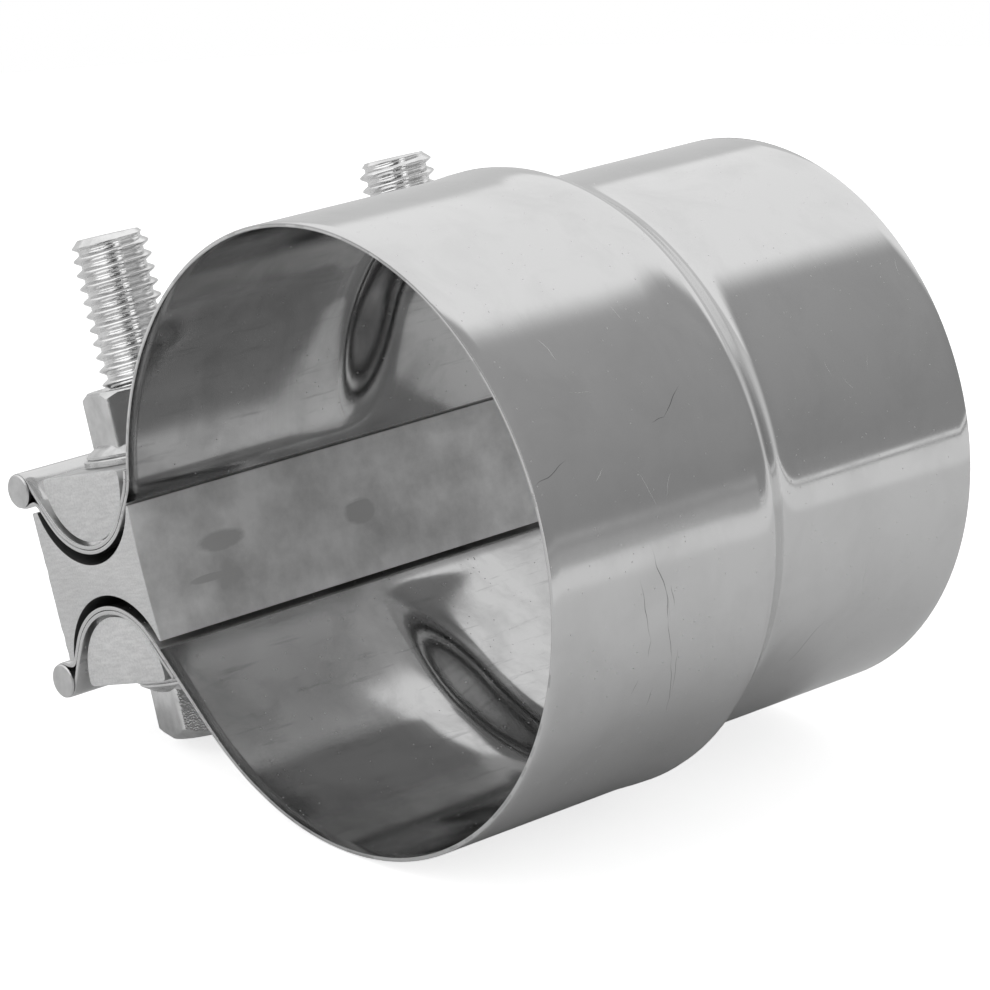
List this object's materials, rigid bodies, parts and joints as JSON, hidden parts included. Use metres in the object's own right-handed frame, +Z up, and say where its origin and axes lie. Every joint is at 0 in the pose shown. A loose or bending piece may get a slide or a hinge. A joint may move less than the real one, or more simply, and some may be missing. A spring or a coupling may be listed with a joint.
{
  "type": "exhaust band clamp",
  "caption": "Stepped lap-joint band clamp: a polished sheet sleeve with folded ends, drawn onto a grooved block by hexagon bolts, joins a wide and a narrow exhaust tube.",
  "frame": {"origin": "on the tube axis, in the plane of the wide mouth", "axes": "+Y along the tube axis from the wide to the narrow end, +Z up as it lies on a flat surface, bolts and block towards -X and a little down"},
  "size_m": [0.0811, 0.0586, 0.0614],
  "materials": {
    "band_sheet": "bright polished stainless sheet",
    "block": "extruded, sawn ends",
    "bars": "drawn steel, sheared ends",
    "rods": "drawn wire, cut ends",
    "plated_bolts": "bright zinc plated",
    "plated_nuts": "bright zinc plated",
    "washers": "zinc plated"
  },
  "bodies": {
    "clamp": {"band": "band_sheet", "reaction_block": "block", "clamp_bar_upper": "bars", "clamp_bar_lower": "bars", "retaining_rod_upper": "rods", "retaining_rod_lower": "rods", "head_washer_front": "washers", "head_washer_rear": "washers"},
    "front_bolt": {"bolt_front": "plated_bolts"},
    "front_washer": {"nut_washer_front": "washers"},
    "front_nut": {"nut_front": "plated_nuts"},
    "rear_bolt": {"bolt_rear": "plated_bolts"},
    "rear_washer": {"nut_washer_rear": "washers"},
    "rear_nut": {"nut_rear": "plated_nuts"}
  },
  "joints": [
    {"name": "front_bolt_turn", "type": "hinge", "parent": "clamp", "child": "front_bolt", "pos_m": [-0.03559, 0.0104, -0.01209], "axis": [-0.2951, 0, 0.9555], "continuous": true},
    {"name": "front_nut_travel", "type": "slide", "parent": "front_bolt", "child": "front_washer", "axis": [-0.2951, 0, 0.9555], "range_m": [0, 0.0152]},
    {"name": "front_nut_turn", "type": "hinge", "parent": "front_washer", "child": "front_nut", "pos_m": [-0.03559, 0.0104, -0.01209], "axis": [-0.2951, 0, 0.9555], "range_deg": [0, 3878.3]},
    {"name": "rear_bolt_turn", "type": "hinge", "parent": "clamp", "child": "rear_bolt", "pos_m": [-0.03559, 0.049, -0.01209], "axis": [-0.2951, 0, 0.9555], "continuous": true},
    {"name": "rear_nut_travel", "type": "slide", "parent": "rear_bolt", "child": "rear_washer", "axis": [-0.2951, 0, 0.9555], "range_m": [0, 0.0152]},
    {"name": "rear_nut_turn", "type": "hinge", "parent": "rear_washer", "child": "rear_nut", "pos_m": [-0.03559, 0.049, -0.01209], "axis": [-0.2951, 0, 0.9555], "range_deg": [0, 3878.3]}
  ],
  "couplings": [
    {"joint": "front_nut_turn", "follows": "front_nut_travel", "rad_per_m": 4452.7},
    {"joint": "rear_nut_turn", "follows": "rear_nut_travel", "rad_per_m": 4452.7}
  ]
}
